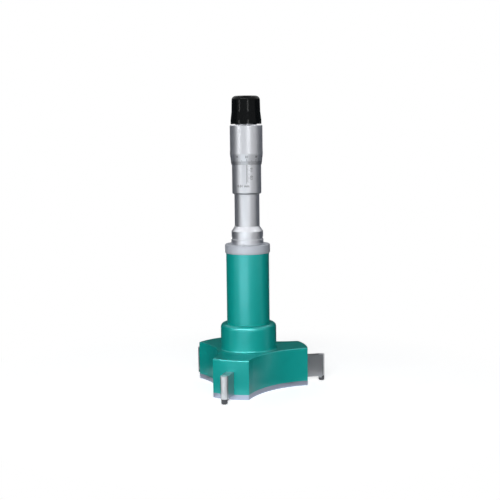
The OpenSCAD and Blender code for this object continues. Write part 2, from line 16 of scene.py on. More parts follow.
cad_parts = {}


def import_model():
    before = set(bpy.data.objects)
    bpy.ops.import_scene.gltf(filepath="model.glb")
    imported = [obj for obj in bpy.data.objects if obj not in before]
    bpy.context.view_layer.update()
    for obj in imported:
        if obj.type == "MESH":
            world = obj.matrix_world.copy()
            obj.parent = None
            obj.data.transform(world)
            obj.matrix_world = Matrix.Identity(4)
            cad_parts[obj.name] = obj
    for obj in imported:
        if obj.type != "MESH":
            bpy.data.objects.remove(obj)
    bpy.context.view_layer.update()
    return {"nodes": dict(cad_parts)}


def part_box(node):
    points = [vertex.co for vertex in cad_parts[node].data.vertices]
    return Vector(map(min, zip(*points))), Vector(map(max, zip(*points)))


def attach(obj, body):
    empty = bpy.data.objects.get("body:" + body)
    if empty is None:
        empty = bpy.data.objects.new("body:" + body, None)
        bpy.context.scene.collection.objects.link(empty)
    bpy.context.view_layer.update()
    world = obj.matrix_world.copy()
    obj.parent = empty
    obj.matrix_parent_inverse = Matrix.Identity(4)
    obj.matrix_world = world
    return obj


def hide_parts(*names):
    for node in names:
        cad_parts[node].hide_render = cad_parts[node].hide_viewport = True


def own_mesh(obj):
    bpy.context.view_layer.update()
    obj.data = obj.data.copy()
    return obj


LOG = logging.getLogger("inside_micrometer")
MM = 0.001
WHITE = (1.0, 1.0, 1.0, 1.0)
NOISE_MIDDLE = 0.5
INDEX_ANGLE = -72.0
TENS = 10
FIVES = 5

Feed = Union["Signal", float, tuple[float, ...]]
Nodes = dict[str, bpy.types.Object]
Row = list[bmesh.types.BMVert]


def screen_colour(red: int, green: int, blue: int, gain: float = 1.0) -> tuple[float, float, float, float]:
    """Turn a screen colour into the linear colour that shaders take.

    Args:
        red: red from 0 to 255.
        green: green from 0 to 255.
        blue: blue from 0 to 255.
        gain: brightness that the linear colour is multiplied by.

    Returns:
        Linear red, green, blue and an alpha of 1.
    """
    linear = [
        gain * (c / 12.92 if c <= 0.04045 else ((c + 0.055) / 1.055) ** 2.4)
        for c in (red / 255, green / 255, blue / 255)
    ]
    return linear[0], linear[1], linear[2], 1.0


class MathKind(Enum):
    """The operations that Math nodes are made for."""

    ADD = "ADD"
    SUBTRACT = "SUBTRACT"
    MULTIPLY = "MULTIPLY"
    DIVIDE = "DIVIDE"
    POWER = "POWER"
    MAXIMUM = "MAXIMUM"


class Signal:
    """An output socket, on which Python's operators add Math nodes."""

    def __init__(self, graph: Graph, socket: bpy.types.NodeSocket) -> None:
        """Keep a socket with the graph that it belongs to.

        Args:
            graph: the graph that new nodes go into.
            socket: the output socket.
        """
        self.graph = graph
        self.socket = socket

    def _math(self, kind: MathKind, left: Feed, right: Feed) -> Signal:
        """Add a Math node.

        Args:
            kind: the operation.
            left: the first operand.
            right: the second operand.

        Returns:
            The node's result.
        """
        return self.graph.add("ShaderNodeMath", {"operation": kind.value}, {0: left, 1: right})

    def __add__(self, other: Feed) -> Signal:
        """Return self + other."""
        return self._math(MathKind.ADD, self, other)

    def __radd__(self, other: Feed) -> Signal:
        """Return other + self."""
        return self._math(MathKind.ADD, other, self)

    def __sub__(self, other: Feed) -> Signal:
        """Return self - other."""
        return self._math(MathKind.SUBTRACT, self, other)

    def __rsub__(self, other: Feed) -> Signal:
        """Return other - self."""
        return self._math(MathKind.SUBTRACT, other, self)

    def __mul__(self, other: Feed) -> Signal:
        """Return self * other."""
        return self._math(MathKind.MULTIPLY, self, other)

    def __rmul__(self, other: Feed) -> Signal:
        """Return other * self."""
        return self._math(MathKind.MULTIPLY, other, self)

    def __truediv__(self, other: Feed) -> Signal:
        """Return self / other."""
        return self._math(MathKind.DIVIDE, self, other)

    def __rtruediv__(self, other: Feed) -> Signal:
        """Return other / self."""
        return self._math(MathKind.DIVIDE, other, self)

    def __pow__(self, other: Feed) -> Signal:
        """Return self to the power of other."""
        return self._math(MathKind.POWER, self, other)

    def __or__(self, other: Feed) -> Signal:
        """Return the larger of self and other."""
        return self._math(MathKind.MAXIMUM, self, other)

    def swing(self, width: float) -> Signal:
        """Return noise as a change about zero, that wide in all."""
        return width * (self - NOISE_MIDDLE)


class Graph:
    """A node tree that is filled from Python."""

    def __init__(self, tree: bpy.types.NodeTree) -> None:
        """Empty a node tree and keep it.

        Args:
            tree: the node tree of a material or of the world.
        """
        self.tree = tree
        tree.nodes.clear()

    def add(
        self,
        kind: str,
        settings: dict[str, object] | None = None,
        sockets: dict[int | str, Feed] | None = None,
        output: int | str = 0,
    ) -> Signal:
        """Add one node.

        Args:
            kind: the node's type.
            settings: the node's own settings, which are set first.
            sockets: a value or a link for each input socket, by name or number.
            output: the output socket that is wanted, by name or number.

        Returns:
            That output socket, or the node's first input if it has no outputs.
        """
        node = self.tree.nodes.new(kind)
        for name, value in (settings or {}).items():
            setattr(node, name, value)
        for key, value in (sockets or {}).items():
            if isinstance(value, Signal):
                self.tree.links.new(value.socket, node.inputs[key])
            else:
                node.inputs[key].default_value = value
        return Signal(self, node.outputs[output] if node.outputs else node.inputs[0])

    def place(self) -> Signal:
        """Return the point on the piece, in metres in the piece's own frame."""
        return self.add("ShaderNodeTexCoord", output="Object")

    def axes(self, vector: Signal) -> tuple[Signal, Signal, Signal]:
        """Split a vector.

        Args:
            vector: the vector.

        Returns:
            Its x, y and z.
        """
        first = self.add("ShaderNodeSeparateXYZ", sockets={0: vector})
        return tuple(Signal(self, socket) for socket in first.socket.node.outputs)

    def vector(self, x: Feed, y: Feed, z: Feed) -> Signal:
        """Return the vector with these parts."""
        return self.add("ShaderNodeCombineXYZ", sockets={0: x, 1: y, 2: z})

    def radius(self, x: Signal, y: Signal) -> Signal:
        """Return the distance from the upright axis."""
        return (x * x + y * y) ** 0.5

    def seen(self) -> Signal:
        """Tell rays that end in the picture from those that only carry light.

        Returns:
            1 for rays from the camera, straight or by way of mirrors and glass, and 0 for the others.
        """
        kinds = ("Camera", "Glossy", "Transmission")
        camera, glossy, through = (self.add("ShaderNodeLightPath", output=f"Is {kind} Ray") for kind in kinds)
        return camera | glossy | through

    def noise(self, vector: Signal, size: float, detail: float = 2.0) -> Signal:
        """Add soft noise.

        Args:
            vector: the point that it is read at, in metres.
            size: the size of its features in millimetres.
            detail: how many finer layers it has.

        Returns:
            A value from about 0 to 1.
        """
        return self.add(
            "ShaderNodeTexNoise",
            {"noise_dimensions": "3D"},
            {"Vector": vector, "Scale": 1 / (size * MM), "Detail": detail},
        )

    def blend(self, share: Feed, first: Feed, second: Feed) -> Signal:
        """Mix two colours.

        Args:
            share: how much of the second colour shows, from 0 to 1.
            first: the first colour.
            second: the second colour.

        Returns:
            The mixed colour.
        """
        return self.add("ShaderNodeMix", {"data_type": "RGBA"}, {0: share, 6: first, 7: second}, output=2)

    def bump(self, height: Signal, depth: float) -> Signal:
        """Turn a height into a normal.

        Args:
            height: the height, from 0 to 1.
            depth: what a height of 1 is, in millimetres.

        Returns:
            The normal.
        """
        return self.add("ShaderNodeBump", sockets={"Strength": 1.0, "Distance": depth * MM, "Height": height})

    def surface(self, sockets: dict[str, Feed]) -> None:
        """End the graph in a Principled shader.

        Args:
            sockets: a value or a link for each of its sockets.
        """
        shader = self.add("ShaderNodeBsdfPrincipled", sockets=sockets)
        self.add("ShaderNodeOutputMaterial", sockets={"Surface": shader})


@dataclass(frozen=True)
class Finish(ABC):
    """A finish that a piece is dressed in.

    Sizes and depths are in millimetres. A mottle is how far a pattern swings the tone, a sheen is how far
    it swings the roughness, and a share is its part in a sum of patterns.
    """

    name: str
    colour: tuple[int, int, int]
    roughness: float

    @abstractmethod
    def paint(self, graph: Graph) -> None:
        """Fill the finish's node tree."""

    def material(self) -> bpy.types.Material:
        """Find the finish's material, which is made the first time.

        Returns:
            The material.
        """
        label = f"{self.name}_finish"
        found = bpy.data.materials.get(label)
        if found is None:
            found = bpy.data.materials.new(label)
            found.use_nodes = True
            self.paint(Graph(found.node_tree))
        return found

    def shades(self, spread: float) -> tuple[tuple[float, ...], tuple[float, ...]]:
        """Return a darker and a lighter form of the colour, that share apart."""
        return screen_colour(*self.colour, 1 - spread / 2), screen_colour(*self.colour, 1 + spread / 2)


@dataclass(frozen=True)
class Enamel(Finish):
    """Sprayed enamel: softly glossy, a little uneven in tone and with a fine orange peel."""

    mottle: float = 0.1
    mottle_size: float = 6.0
    mottle_sheen: float = 0.03
    peel_size: float = 1.2
    peel_depth: float = 0.002
    peel_sheen: float = 0.02
    coat: float = 0.08
    coat_roughness: float = 0.08
    gloss: float = 1.0
    gloss_tint: tuple[float, float, float, float] = (0.36, 0.86, 1.0, 1.0)
    refraction: float = 1.7

    def paint(self, graph: Graph) -> None:
        """Fill the node tree of the enamel.

        Args:
            graph: the node tree.
        """
        place = graph.place()
        cloud = graph.noise(place, self.mottle_size, detail=3.0)
        peel = graph.noise(place, self.peel_size, detail=1.0)
        graph.surface({
            "Base Color": graph.blend(cloud, *self.shades(self.mottle)),
            "Roughness": self.roughness + cloud.swing(self.mottle_sheen) + peel.swing(self.peel_sheen),
            "Normal": graph.bump(peel, self.peel_depth),
            "IOR": self.refraction,
            "Specular IOR Level": self.gloss,
            "Specular Tint": self.gloss_tint,
            "Coat Weight": self.coat,
            "Coat Roughness": self.coat_roughness,
        })


@dataclass(frozen=True)
class TurnedMetal(Finish):
    """Metal turned on a lathe about the upright axis: fine rings over a satin grain."""

    ring_size: float = 0.22
    ring_depth: float = 0.0012
    ring_share: float = 0.7
    ring_sheen: float = 0.1
    grain_size: float = 0.12
    grain_share: float = 0.3
    grain_sheen: float = 0.06
    mottle: float = 0.05
    mottle_size: float = 7.0
    mottle_sheen: float = 0.05
    bareness: float = 1.0

    def paint(self, graph: Graph) -> None:
        """Fill the node tree of the turned metal.

        Args:
            graph: the node tree.
        """
        place = graph.place()
        x, y, z = graph.axes(place)
        rings = graph.noise(graph.vector(graph.radius(x, y), z, 0.0), self.ring_size)
        grain = graph.noise(place, self.grain_size, detail=1.0)
        cloud = graph.noise(place, self.mottle_size)
        roughness = self.roughness + rings.swing(self.ring_sheen) + grain.swing(self.grain_sheen)
        graph.surface({
            "Base Color": self.tone(graph, graph.blend(cloud, *self.shades(self.mottle)), z),
            "Metallic": self.bareness,
            "Roughness": roughness + cloud.swing(self.mottle_sheen),
            "Normal": graph.bump(self.ring_share * rings + self.grain_share * grain, self.ring_depth),
        })

    def tone(self, graph: Graph, plain: Signal, height: Signal) -> Signal:
        """Return the colour at a height, which is plain all over."""
        return plain


@dataclass(frozen=True)
class PinMetal(TurnedMetal):
    """A lapped pin coloured darker on its foot, towards the bottom; heights in millimetres."""

    foot_colour: tuple[int, int, int] = (78, 80, 84)
    foot_height: float = 3.3
    foot_edge: float = 0.15

    def tone(self, graph: Graph, plain: Signal, height: Signal) -> Signal:
        """Find the colour at a height, which is darker on the foot.

        Args:
            graph: the node tree.
            plain: the colour above the foot.
            height: the height in metres.

        Returns:
            The colour.
        """
        # The colour turns darker below the foot's height, towards the bottom of the pin.
        low = (self.foot_height - self.foot_edge) * MM
        high = (self.foot_height + self.foot_edge) * MM
        above = graph.add("ShaderNodeMapRange", sockets={0: height, 1: low, 2: high})
        return graph.blend(above, screen_colour(*self.foot_colour), plain)


@dataclass(frozen=True)
class GroundMetal(Finish):
    """Metal ground in straight passes: fine lines along one level direction, in degrees.

    A run or a spread is how fast a pattern changes along or across the passes.
    """

    along: float = 0.0
    line_size: float = 0.18
    line_run: float = 0.02
    line_spread: float = 0.6
    line_depth: float = 0.0012
    line_sheen: float = 0.14
    pass_size: float = 2.2
    pass_run: float = 0.05
    pass_share: float = 0.6
    pass_sheen: float = 0.08
    mottle: float = 0.08
    mottle_size: float = 5.0
    mottle_share: float = 0.4
    bareness: float = 1.0

    def paint(self, graph: Graph) -> None:
        """Fill the node tree of the ground metal.

        Args:
            graph: the node tree.
        """
        place = graph.place()
        x, y, z = graph.axes(place)
        turn = math.radians(self.along)
        lengthways = math.cos(turn) * x + math.sin(turn) * y
        across = math.cos(turn) * y - math.sin(turn) * x
        line_place = graph.vector(self.line_run * lengthways, self.line_spread * across, z)
        pass_place = graph.vector(self.pass_run * lengthways, across, z)
        lines = graph.noise(line_place, self.line_size)
        passes = graph.noise(pass_place, self.pass_size)
        cloud = graph.noise(place, self.mottle_size, detail=3.0)
        patches = self.pass_share * passes + self.mottle_share * cloud
        graph.surface({
            "Base Color": graph.blend(patches, *self.shades(self.mottle)),
            "Metallic": self.bareness,
            "Roughness": self.roughness + lines.swing(self.line_sheen) + passes.swing(self.pass_sheen),
            "Normal": graph.bump(lines, self.line_depth),
        })


@dataclass(frozen=True)
class DrawnWire(Finish):
    """Drawn and oiled wire with a slightly uneven tone."""

    mottle: float = 0.25
    mottle_size: float = 2.5
    scale_size: float = 0.5
    scale_depth: float = 0.002
    scale_sheen: float = 0.2

    def paint(self, graph: Graph) -> None:
        """Fill the node tree of the wire.

        Args:
            graph: the node tree.
        """
        place = graph.place()
        scale = graph.noise(place, self.scale_size, detail=3.0)
        cloud = graph.noise(place, self.mottle_size)
        graph.surface({
            "Base Color": graph.blend(cloud, *self.shades(self.mottle)),
            "Metallic": 1.0,
            "Roughness": self.roughness + scale.swing(self.scale_sheen),
            "Normal": graph.bump(scale, self.scale_depth),
        })


@dataclass(frozen=True)
class MouldedPlastic(Finish):
    """Moulded plastic with a fine spark-eroded grain and a satin sheen."""

    grain_size: float = 0.16
    grain_depth: float = 0.003
    grain_sheen: float = 0.08
    mottle: float = 0.2
    mottle_size: float = 4.0
    mottle_sheen: float = 0.12
    gloss: float = 0.13

    def paint(self, graph: Graph) -> None:
        """Fill the node tree of the plastic.

        Args:
            graph: the node tree.
        """
        place = graph.place()
        grain = graph.noise(place, self.grain_size)
        cloud = graph.noise(place, self.mottle_size, detail=3.0)
        graph.surface({
            "Base Color": graph.blend(cloud, *self.shades(self.mottle)),
            "Roughness": self.roughness + cloud.swing(self.mottle_sheen) + grain.swing(self.grain_sheen),
            "Specular IOR Level": self.gloss,
            "Normal": graph.bump(grain, self.grain_depth),
        })


@dataclass(frozen=True)
class ScaleInk(Finish):
    """Ink in engraved marks, a little worn and uneven."""

    mottle: float = 0.5
    wear_size: float = 0.3
    wear_depth: float = 0.002
    wear_sheen: float = 0.2

    def paint(self, graph: Graph) -> None:
        """Fill the node tree of the ink.

        Args:
            graph: the node tree.
        """
        place = graph.place()
        wear = graph.noise(place, self.wear_size, detail=3.0)
        graph.surface({
            "Base Color": graph.blend(wear, *self.shades(self.mottle)),
            "Roughness": self.roughness + wear.swing(self.wear_sheen),
            "Normal": graph.bump(wear, self.wear_depth),
        })


@dataclass(frozen=True)
class StudioFloor(Finish):
    """Floor that looks white where nothing shades it, and is plain white farther off; fades in metres."""

    glow: float = 0.69
    fade_start: float = 0.1
    fade_end: float = 0.2

    def paint(self, graph: Graph) -> None:
        """Fill the node tree of the floor.

        Args:
            graph: the node tree.
        """
        x, y, _ = graph.axes(graph.place())
        away = graph.add(
            "ShaderNodeMapRange",
            {"interpolation_type": "SMOOTHSTEP"},
            {0: graph.radius(x, y), 1: self.fade_start, 2: self.fade_end},
        )
        dull = graph.add("ShaderNodeBsdfDiffuse", sockets={"Color": screen_colour(*self.colour)})
        lit = graph.add("ShaderNodeEmission", sockets={"Color": WHITE, "Strength": self.glow})
        near = graph.add("ShaderNodeAddShader", sockets={0: dull, 1: lit})
        white = graph.add("ShaderNodeEmission", sockets={"Color": WHITE, "Strength": 1.0})
        looks = graph.add("ShaderNodeMixShader", sockets={0: away, 1: near, 2: white})
        shader = graph.add("ShaderNodeMixShader", sockets={0: graph.seen(), 1: dull, 2: looks})
        graph.add("ShaderNodeOutputMaterial", sockets={"Surface": shader})


@dataclass(frozen=True)
class CardCloth(Finish):
    """Cloth of a card beside the object, grey or glowing."""

    glow: float = 0.0
    mottle: float = 0.2
    weave_size: float = 30.0

    def paint(self, graph: Graph) -> None:
        """Fill the node tree of the cloth.

        Args:
            graph: the node tree.
        """
        weave = graph.noise(graph.place(), self.weave_size)
        graph.surface({
            "Base Color": graph.blend(weave, *self.shades(self.mottle)),
            "Roughness": self.roughness,
            "Specular IOR Level": 0.0,
            "Emission Color": WHITE,
            "Emission Strength": self.glow,
        })


class Arm(Enum):
    """The three arms of the head, each with the direction that it points in, in degrees."""

    FRONT = -90.0
    RIGHT = 30.0
    LEFT = 150.0

    def node(self, stem: str) -> str:
        """Return the name of this arm's node of that kind."""
        return f"{stem}_{self.name.lower()}"


TEAL_ENAMEL = Enamel("teal_enamel", (1, 163, 154), 0.31)
SATIN_CHROME = TurnedMetal("satin_chrome", (229, 231, 236), 0.44)
SATIN_RING = TurnedMetal("satin_ring", (200, 204, 213), 0.5, bareness=0.3)
GROUND_PLATE = GroundMetal("ground_plate", (174, 182, 202), 0.32, line_size=0.25)
HARD_METAL = PinMetal("hard_metal", (238, 240, 244), 0.3, ring_size=0.1, ring_depth=0.0005, bareness=0.25)
MACHINED_STEEL = TurnedMetal("machined_steel", (176, 178, 184), 0.3, ring_size=0.3, ring_depth=0.003)
SPRING_STEEL = DrawnWire("spring_steel", (150, 150, 154), 0.32)
BRONZE = TurnedMetal("bearing_bronze", (196, 158, 104), 0.3, ring_depth=0.002, mottle=0.2)
BLACK_PLASTIC = MouldedPlastic("black_plastic", (12, 14, 15), 0.17)
SCALE_INK = ScaleInk("scale_ink", (26, 28, 32), 0.5)
WHITE_FLOOR = StudioFloor("studio_floor", (236, 238, 240), 1.0)


def ground_steel(arm: Arm) -> GroundMetal:
    """Return the finish of that arm's blade, ground along the arm."""
    return GroundMetal(arm.node("ground_steel"), (174, 176, 181), 0.32, along=arm.value, bareness=0.72)


def put(name: str, data: bpy.types.ID) -> bpy.types.Object:
    """Put something new in the scene.

    Args:
        name: its name.
        data: the mesh, curve, lamp or camera that it shows.

    Returns:
        The object.
    """
    made = bpy.data.objects.new(name, data)
    bpy.context.scene.collection.objects.link(made)
    return made


def make_object(name: str, sheet: bmesh.types.BMesh, finish: Finish) -> bpy.types.Object:
    """Turn a mesh in the making into an object of the scene.

    Args:
        name: the object's name.
        sheet: the mesh, which is freed.
        finish: the finish that it is dressed in.

    Returns:
        The object.
    """
    sheet.normal_update()
    mesh = bpy.data.meshes.new(name)
    sheet.to_mesh(mesh)
    sheet.free()
    mesh.materials.append(finish.material())
    return put(name, mesh)


def bridge(sheet: bmesh.types.BMesh, lower: Row, upper: Row) -> None:
    """Join two rows of points with four-sided faces.

    Args:
        sheet: the mesh that the points are in.
        lower: the lower row.
        upper: the upper row, with as many points.
    """
    for i in range(len(lower) - 1):
        sheet.faces.new((lower[i], lower[i + 1], upper[i + 1], upper[i]))


def tick_length(step: int, lengths: tuple[float, float, float]) -> float:
    """Find how long a scale's tick is.

    Args:
        step: the tick's reading.
        lengths: the length of a plain tick, of one at the fives and of one at the tens.

    Returns:
        The length that it takes.
    """
    plain, at_fives, at_tens = lengths
    if step % TENS == 0:
        return at_tens
    return at_fives if step % FIVES == 0 else plain


class Run(Enum):
    """The way that lettering runs on a round face."""

    ROUND = "round"
    UPWARD = "upward"


@dataclass(frozen=True)
class RoundFace:
    """A turned face that marks lie on, straight in section; sizes in millimetres."""

    foot_height: float
    foot_radius: float
    head_height: float
    head_radius: float
    lift: float = 0.014

    def radius(self, height: float) -> float:
        """Return the face's radius at a height."""
        share = (height - self.foot_height) / (self.head_height - self.foot_height)
        return self.foot_radius + share * (self.head_radius - self.foot_radius)

    def point(self, angle: float, height: float) -> Vector:
        """Find a point just above the face.

        Args:
            angle: the angle about the axis, in radians.
            height: the height in millimetres.

        Returns:
            The point in metres.
        """
        reach = self.radius(height) + self.lift
        return MM * Vector((reach * math.cos(angle), reach * math.sin(angle), height))


@dataclass
class Marks:
    """Inked marks on a round face, gathered into one mesh; sizes in millimetres, angles in radians."""

    face: RoundFace
    widest_step: float = math.radians(2.0)
    depth: float = 0.03
    letter_steps: int = 4
    cut_slack: float = 1e-6
    sheet: bmesh.types.BMesh = field(default_factory=bmesh.new)

    def patch(self, angle: float, turn: float, foot: float, head: float) -> None:
        """Add a mark bounded by two angles and two heights.

        Args:
            angle: the angle of its middle, in radians.
            turn: the angle that it spans.
            foot: its lower edge in millimetres.
            head: its upper edge in millimetres.
        """
        steps = max(1, math.ceil(abs(turn) / self.widest_step))
        angles = [angle - turn / 2 + turn * i / steps for i in range(steps + 1)]
        lower, upper = (
            [self.sheet.verts.new(self.face.point(a, height)) for a in angles] for height in (foot, head)
        )
        bridge(self.sheet, lower, upper)

    def letters(self, text: str, angle: float, height: float, size: float, run: Run = Run.ROUND) -> None:
        """Add lettering.

        Args:
            text: the text.
            angle: the angle of its middle, in radians.
            height: the height of its middle in millimetres.
            size: the type size in millimetres.
            run: whether it runs round the face or up it.
        """
        type_curve = bpy.data.curves.new("lettering", "FONT")
        type_curve.body = text
        type_curve.size = size
        type_curve.resolution_u = self.letter_steps
        type_curve.align_x = type_curve.align_y = "CENTER"
        holder = put("lettering", type_curve)
        bpy.context.view_layer.update()
        flat = bpy.data.meshes.new_from_object(holder.evaluated_get(bpy.context.evaluated_depsgraph_get()))
        sliced = self._sliced(flat, run)
        radius = self.face.radius(height)
        made = []
        for vertex in sliced.verts:
            along, up = vertex.co.x, vertex.co.y
            if run is Run.UPWARD:
                along, up = -up, along
            made.append(self.sheet.verts.new(self.face.point(angle + along / radius, height + up)))
        for part in sliced.faces:
            self.sheet.faces.new([made[v.index] for v in part.verts])
        sliced.free()
        bpy.data.meshes.remove(flat)
        bpy.data.objects.remove(holder)
        bpy.data.curves.remove(type_curve)

    def _sliced(self, flat: bpy.types.Mesh, run: Run) -> bmesh.types.BMesh:
        """Cut flat lettering into strips narrow enough to bend.

        Args:
            flat: the lettering's mesh, in millimetres.
            run: the way that the lettering runs.

        Returns:
            The cut mesh, with its vertices numbered.
        """
        cut = bmesh.new()
        cut.from_mesh(flat)
        across = Vector((1, 0, 0)) if run is Run.ROUND else Vector((0, 1, 0))
        reach = max((abs(v.co.dot(across)) for v in cut.verts), default=0.0)
        count = math.ceil(reach / (self.widest_step * self.face.foot_radius))
        for i in range(-count, count + 1):
            bmesh.ops.bisect_plane(
                cut,
                geom=cut.verts[:] + cut.edges[:] + cut.faces[:],
                plane_co=across * (reach * i / (count + 1)),
                plane_no=across,
                dist=self.cut_slack,
            )
        cut.verts.index_update()
        return cut

    def piece(self, name: str, body: str, finish: Finish) -> None:
        """Turn the marks into a piece, each mark a thin tile let into the metal.

        Args:
            name: the piece's name.
            body: the body that it rides on.
            finish: the finish.
        """
        made = make_object(name, self.sheet, finish)
        tile = made.modifiers.new("tile", "SOLIDIFY")
        tile.thickness = self.depth * MM
        tile.offset = -1.0
        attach(made, body)
        LOG.info("piece %s rides on %s", name, body)


@dataclass
class Assembly(ABC):
    """A sub-assembly, which dresses its own nodes and may build pieces of its own."""

    nodes: Nodes

    @abstractmethod
    def build(self) -> None:
        """Dress the nodes and build the pieces."""

    def dress(self, name: str, finish: Finish) -> None:
        """Give a node a finish.

        Args:
            name: the node's name.
            finish: the finish.
        """
        for slot in self.nodes[name].material_slots:
            slot.material = finish.material()
        LOG.info("node %s is dressed in %s", name, finish.name)


@dataclass
class Head(Assembly):
    """The painted three-armed head with its bare base plate and screws."""

    def build(self) -> None:
        """Dress the head."""
        self.dress("head_body", TEAL_ENAMEL)
        self.dress("base_plate", GROUND_PLATE)
        self.dress("plate_screws", MACHINED_STEEL)


@dataclass
class Anvils(Assembly):
    """The three sliding blades with their tips, and the springs that draw them in; sizes in millimetres."""

    wire: float = 0.5
    turns: float = 6.5
    travel_out: float = 10.9
    rings_per_turn: int = 24
    wire_sides: int = 10

    def build(self) -> None:
        """Dress the blades of each arm and wind their springs."""
        for arm in Arm:
            self.dress(arm.node("anvil"), ground_steel(arm))
            self.dress(arm.node("tip"), HARD_METAL)
            self.wind(arm)

    def wind(self, arm: Arm) -> None:
        """Wind the spring that a blade presses against the end of its arm as it slides out.

        Args:
            arm: the arm.
        """
        low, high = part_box(Arm.FRONT.node("anvil_spring"))
        start, end, axis_height = -high.y, -low.y, (low.z + high.z) / 2
        thickness = self.wire * MM
        mean_radius = (high.z - low.z - thickness) / 2
        turn = math.radians(arm.value)
        along = Vector((math.cos(turn), math.sin(turn), 0))
        side = Vector((-math.sin(turn), math.cos(turn), 0))
        up = Vector((0, 0, 1))
        sheet = bmesh.new()
        count = round(self.turns * self.rings_per_turn)
        rings = []
        for i in range(count + 1):
            angle = 2 * math.pi * self.turns * i / count
            outward = math.sin(angle) * side - math.cos(angle) * up
            advance = start + thickness / 2 + (end - start - thickness) * i / count
            centre = axis_height * up + advance * along
            ring = []
            for k in range(self.wire_sides):
                around = 2 * math.pi * k / self.wire_sides
                reach = mean_radius + thickness / 2 * math.cos(around)
                shift = thickness / 2 * math.sin(around)
                ring.append(sheet.verts.new(centre + reach * outward + shift * along))
            rings.append(ring)
        for near, far in zip(rings, rings[1:]):
            for k in range(self.wire_sides):
                after = (k + 1) % self.wire_sides
                sheet.faces.new((near[k], far[k], far[after], near[after])).smooth = True
        sheet.faces.new(rings[0])
        sheet.faces.new(rings[-1])
        bmesh.ops.recalc_face_normals(sheet, faces=sheet.faces[:])
        spring = make_object(arm.node("wound_spring"), sheet, SPRING_STEEL)
        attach(spring, "frame")
        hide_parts(arm.node("anvil_spring"))
        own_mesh(spring)
        LOG.info("piece %s rides on frame", spring.name)


@dataclass
class ConeDrive(Assembly):
    """The cone that spreads the blades, its push rod and the bushes that guide it."""

    turned: ClassVar[tuple[str, ...]] = ("measuring_cone", "cone_nut", "push_rod", "thrust_ball")
    bushes: ClassVar[tuple[str, ...]] = ("lower_guide_bush", "upper_guide_bush")

    def build(self) -> None:
        """Dress the cone drive."""
        for name in self.turned:
            self.dress(name, MACHINED_STEEL)
        for name in self.bushes:
            self.dress(name, BRONZE)


@dataclass
class Stem(Assembly):
    """The painted column and the satin stem with its scale; sizes in millimetres, angles in degrees."""

    sleeve_radius: float = 9.4
    face_margin: float = 5.0
    index_angle: float = INDEX_ANGLE
    index_foot: float = 133.2
    index_width: float = 0.16
    index_overlap: float = 1.5
    reading_at_edge: float = 103.2
    hidden_readings: int = 3
    last_reading: int = 125
    rise_per_reading: float = 0.5
    tick_width: float = 0.11
    tick_lengths: tuple[float, float, float] = (1.1, 1.7, 2.3)
    numeral_size: float = 2.0
    numeral_gap: float = 3.2
    unit_text: str = "0.01 mm"
    unit_angle: float = -86.0
    unit_height: float = 131.6
    unit_size: float = 2.3

    def build(self) -> None:
        """Dress the stem and engrave the sleeve."""
        self.dress("column_tube", TEAL_ENAMEL)
        self.dress("flange_ring", SATIN_RING)
        for name in ("stem_body", "graduated_sleeve"):
            self.dress(name, SATIN_CHROME)
        self.dress("adjusting_nut", MACHINED_STEEL)
        self.engrave()

    def engrave(self) -> None:
        """Engrave the sleeve: an index line, a tick for each millimetre of bore, and numerals at the tens."""
        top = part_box("graduated_sleeve")[1].z / MM
        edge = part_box("thimble")[0].z / MM
        foot = self.index_foot - self.face_margin
        marks = Marks(RoundFace(foot, self.sleeve_radius, top, self.sleeve_radius))
        index = math.radians(self.index_angle)
        numeral_angle = index + self.numeral_gap / self.sleeve_radius
        first_reading = math.ceil(self.reading_at_edge) - self.hidden_readings
        marks.patch(index, self.index_width / self.sleeve_radius, self.index_foot, edge + self.index_overlap)
        for reading in range(first_reading, self.last_reading + 1):
            height = edge - self.rise_per_reading * (reading - self.reading_at_edge)
            turn = tick_length(reading, self.tick_lengths) / self.sleeve_radius
            marks.patch(index + turn / 2, turn, height - self.tick_width / 2, height + self.tick_width / 2)
            if reading % TENS == 0 and height < edge:
                marks.letters(str(reading), numeral_angle, height, self.numeral_size, Run.UPWARD)
        marks.letters(self.unit_text, math.radians(self.unit_angle), self.unit_height, self.unit_size)
        marks.piece("sleeve_scale", "frame", SCALE_INK)


@dataclass
class Thimble(Assembly):
    """The thimble on its screw spindle, with its bevel's scale; sizes in millimetres, angles in degrees."""

    edge_radius: float = 9.74
    band_radius: float = 10.61
    bevel_height: float = 6.8
    index_angle: float = INDEX_ANGLE
    divisions: int = 100
    division_at_index: int = 20
    tick_gap: float = 0.05
    tick_width: float = 0.17
    tick_lengths: tuple[float, float, float] = (2.2, 2.9, 3.5)
    numeral_size: float = 1.9
    numeral_lift: float = 5.0

    def build(self) -> None:
        """Dress the thimble and engrave its bevel."""
        self.dress("thimble", SATIN_CHROME)
        self.dress("spindle", MACHINED_STEEL)
        self.engrave()

    def engrave(self) -> None:
        """Engrave the bevel's scale: a tick for each hundredth, and numerals at the tens."""
        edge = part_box("thimble")[0].z / MM
        marks = Marks(RoundFace(edge, self.edge_radius, edge + self.bevel_height, self.band_radius))
        for division in range(self.divisions):
            turned = 360 * (division - self.division_at_index) / self.divisions
            angle = math.radians(self.index_angle + turned)
            head = edge + tick_length(division, self.tick_lengths)
            marks.patch(angle, self.tick_width / self.edge_radius, edge + self.tick_gap, head)
            if division % TENS == 0:
                marks.letters(str(division), angle, edge + self.numeral_lift, self.numeral_size)
        marks.piece("thimble_scale", "thimble_spindle", SCALE_INK)


@dataclass
class Ratchet(Assembly):
    """The ratchet stop under its black cap."""

    metal: ClassVar[tuple[str, ...]] = ("ratchet_wheel", "ratchet_screw", "ratchet_housing", "ratchet_driver")

    def build(self) -> None:
        """Dress the ratchet stop."""
        self.dress("ratchet_cap", BLACK_PLASTIC)
        self.dress("ratchet_spring", SPRING_STEEL)
        for name in self.metal:
            self.dress(name, MACHINED_STEEL)


